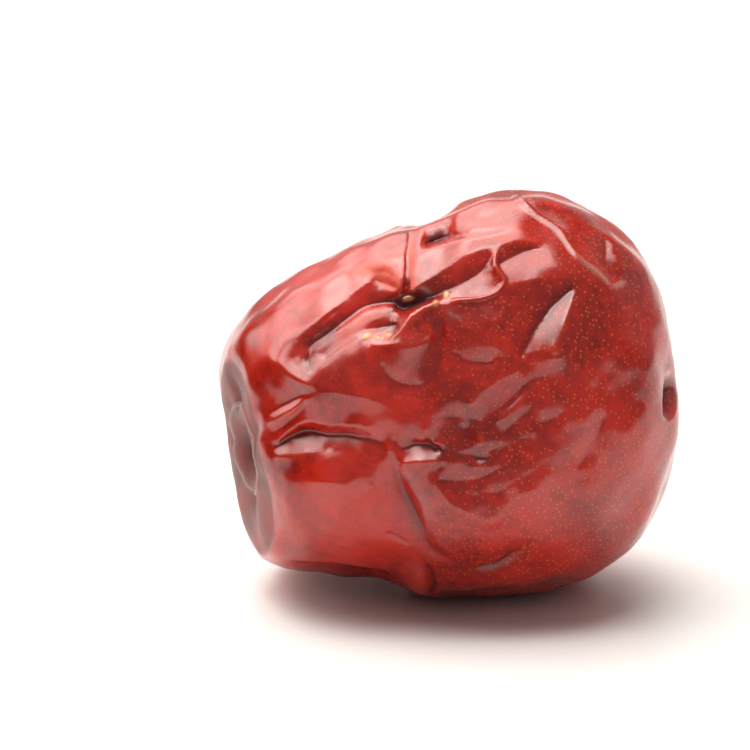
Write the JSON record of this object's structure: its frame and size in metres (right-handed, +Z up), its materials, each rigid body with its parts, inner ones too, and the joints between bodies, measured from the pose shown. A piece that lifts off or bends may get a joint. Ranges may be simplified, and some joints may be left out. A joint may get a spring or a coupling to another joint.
{
  "type": "dried jujube",
  "caption": "Whole dried red jujube lying on its side: glossy, deeply wrinkled skin, a sunk stem scar at one end and a puckered dimple at the other.",
  "frame": {"origin": "on the resting plane, under the middle of the fruit's box", "axes": "+Z up, +X along the fruit's length, from its stem end to its style end, with the side that shows best facing -Y"},
  "size_m": [0.0359, 0.0334, 0.0323],
  "materials": {
    "jujube_skin": "glossy, waxy, wrinkled"
  },
  "bodies": {
    "root": {"dried_jujube": "jujube_skin"}
  },
  "joints": []
}
